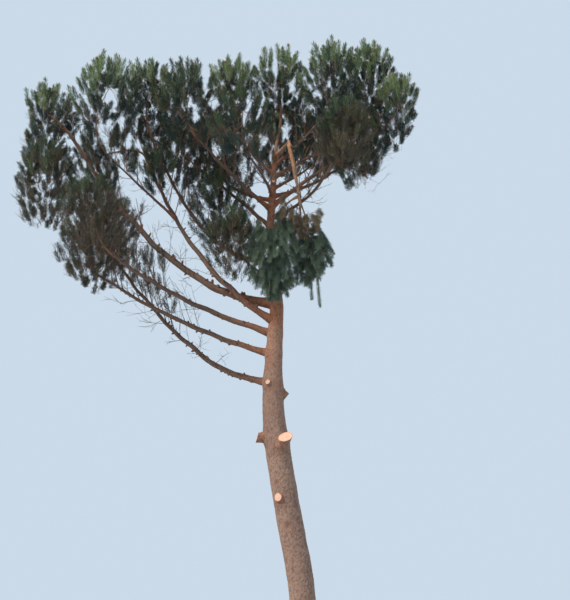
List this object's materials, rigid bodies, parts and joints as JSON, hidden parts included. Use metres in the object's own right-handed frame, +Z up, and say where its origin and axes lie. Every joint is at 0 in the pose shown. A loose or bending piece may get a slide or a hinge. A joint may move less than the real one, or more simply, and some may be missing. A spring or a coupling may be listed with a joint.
{
  "type": "pine tree",
  "caption": "Umbrella-crowned pine being taken down: leaning bare trunk with sawn stubs, boughs sweeping up to one side, a tufted needle crown and one cut limb hanging.",
  "frame": {"origin": "centre of the flat cut under the trunk, at ground level", "axes": "+Z up along the tree, +X to the right and +Y away from a viewer who sees the low boughs sweep to the left"},
  "size_m": [8.2437, 5.1579, 16.2255],
  "materials": {
    "trunk_bark": "rough grey-brown plated bark",
    "bough_bark": "flaky orange-brown bark",
    "cut_wood": "pale freshly sawn wood",
    "twigs": "rough dark brown twigs",
    "needles": "dark bluish-green needles",
    "sunlit_needles": "yellow-green needles on the top shoots",
    "hanging_needles": "soft grey-green drooping needles",
    "dead_needles": "dull olive-brown needles on the low shoots"
  },
  "bodies": {
    "root": {"bough_back": "bough_bark", "bough_front": "bough_bark", "bough_left_1": "bough_bark", "bough_left_10": "bough_bark", "bough_left_11": "bough_bark", "bough_left_12": "bough_bark", "bough_left_2": "bough_bark", "bough_left_3": "bough_bark", "bough_left_4": "bough_bark", "bough_left_5": "bough_bark", "bough_left_6": "bough_bark", "bough_left_7": "bough_bark", "bough_left_8": "bough_bark", "bough_left_9": "bough_bark", "bough_right_1": "bough_bark", "bough_right_2": "bough_bark", "bough_right_3": "bough_bark", "bough_right_4": "bough_bark", "bough_right_5": "bough_bark", "bough_right_6": "bough_bark", "foliage_back": "needles", "foliage_front": "needles", "foliage_hanging_1": "hanging_needles", "foliage_hanging_2": "hanging_needles", "foliage_hanging_3": "hanging_needles", "foliage_left_1": "needles", "foliage_left_10": "needles", "foliage_left_11": "needles", "foliage_left_12": "needles", "foliage_left_13": "needles", "foliage_left_14": "needles", "foliage_left_15": "needles", "foliage_left_2": "needles", "foliage_left_3": "needles", "foliage_left_4": "needles", "foliage_left_5": "needles", "foliage_left_6": "needles", "foliage_left_7": "needles", "foliage_left_8": "needles", "foliage_left_9": "needles", "foliage_right_1": "needles", "foliage_right_2": "needles", "foliage_right_3": "needles", "foliage_right_4": "needles", "foliage_right_5": "needles", "foliage_right_6": "needles", "foliage_right_7": "needles", "foliage_top": "needles", "hanging_fork_left": "bough_bark", "hanging_fork_right": "bough_bark", "hanging_limb": "bough_bark", "hinge_stub": "bough_bark", "side_bough_1": "bough_bark", "side_bough_2": "bough_bark", "side_bough_3": "bough_bark", "side_bough_4": "bough_bark", "trunk": "trunk_bark"}
  },
  "joints": []
}
